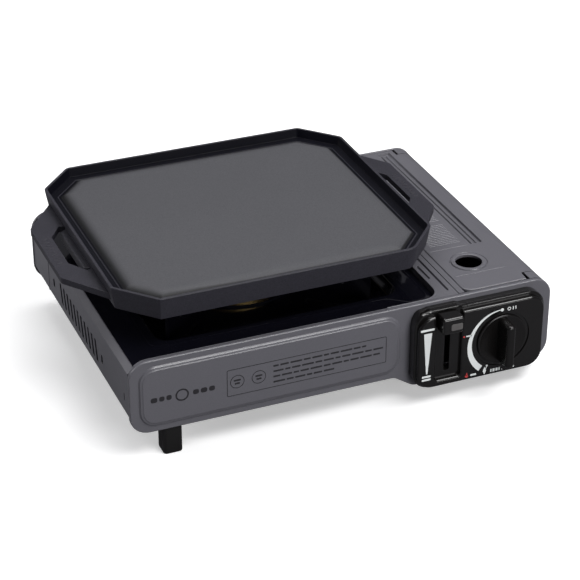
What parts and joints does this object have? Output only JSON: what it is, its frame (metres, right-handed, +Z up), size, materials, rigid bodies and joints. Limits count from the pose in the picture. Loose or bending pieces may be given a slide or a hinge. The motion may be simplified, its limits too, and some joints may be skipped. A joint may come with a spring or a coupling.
{
  "type": "camping stove",
  "caption": "Portable single-burner butane camping stove with a removable griddle plate, hinged canister lid, control knob and lock lever.",
  "frame": {"origin": "middle of the whole object's footprint, on the surface that the feet stand on", "axes": "+X to the right along the front panel, +Y to the back, +Z up"},
  "size_m": [0.3646, 0.284, 0.1255],
  "materials": {
    "grey_paint": "satin powder coat, slightly violet grey",
    "black_enamel": "gloss enamel",
    "nonstick_cast": "cast, with a speckled dark non-stick coat",
    "black_plastic": "semi-gloss moulded",
    "zinc_steel": "bright zinc",
    "die_cast": "as cast",
    "brass": "machined",
    "ceramic": "glazed",
    "wire_sleeve": "silicone sleeve"
  },
  "bodies": {
    "root": {"front_panel": "grey_paint", "rear_panel": "grey_paint", "body_shell": "grey_paint", "top_deck": "grey_paint", "bay_frame": "grey_paint", "front_hinge_ear": "grey_paint", "rear_hinge_ear": "grey_paint", "drip_tray": "black_enamel", "control_panel": "black_plastic", "feet": "black_plastic", "piezo_igniter": "black_plastic", "lid_hinge_pins": "zinc_steel", "canister_rails": "zinc_steel", "regulator_bracket": "zinc_steel", "regulator_screws": "zinc_steel", "igniter_clip": "zinc_steel", "burner_bracket": "zinc_steel", "jet_bracket": "zinc_steel", "electrode_holder": "zinc_steel", "foot_screws": "zinc_steel", "regulator_body": "die_cast", "burner_bowl": "die_cast", "valve_nozzle": "brass", "gas_jet": "brass", "gas_pipe": "brass", "burner_cap": "brass", "ignition_electrode": "ceramic", "ignition_wire": "wire_sleeve"},
    "lid": {"canister_lid": "grey_paint"},
    "knob": {"knob": "black_plastic", "valve_spindle": "zinc_steel", "igniter_cam": "zinc_steel"},
    "lever": {"lock_lever": "black_plastic", "lever_arm": "zinc_steel"},
    "carriage": {"canister_carriage": "zinc_steel"},
    "support": {"pan_support": "black_enamel"},
    "griddle": {"griddle_plate": "nonstick_cast"}
  },
  "joints": [
    {"name": "lid_hinge", "type": "hinge", "parent": "root", "child": "lid", "pos_m": [0.1763, 0.014, 0.06], "axis": [0, 1, 0], "range_deg": [0, 100]},
    {"name": "knob_turn", "type": "hinge", "parent": "root", "child": "knob", "pos_m": [0.1348, -0.134, 0.0462], "axis": [0, -1, 0], "range_deg": [0, 150]},
    {"name": "lever_slide", "type": "slide", "parent": "root", "child": "lever", "axis": [0, 0, -1], "range_m": [0, 0.026]},
    {"name": "carriage_slide", "type": "slide", "parent": "root", "child": "carriage", "axis": [0, -1, 0], "range_m": [0, 0.008]},
    {"name": "support_lift", "type": "slide", "parent": "root", "child": "support", "axis": [0, 0, 1], "range_m": [0, 0.06]},
    {"name": "griddle_lift", "type": "slide", "parent": "support", "child": "griddle", "axis": [0, 0, 1], "range_m": [0, 0.06]}
  ],
  "couplings": [
    {"joint": "carriage_slide", "follows": "lever_slide", "ratio": 0.30769}
  ]
}
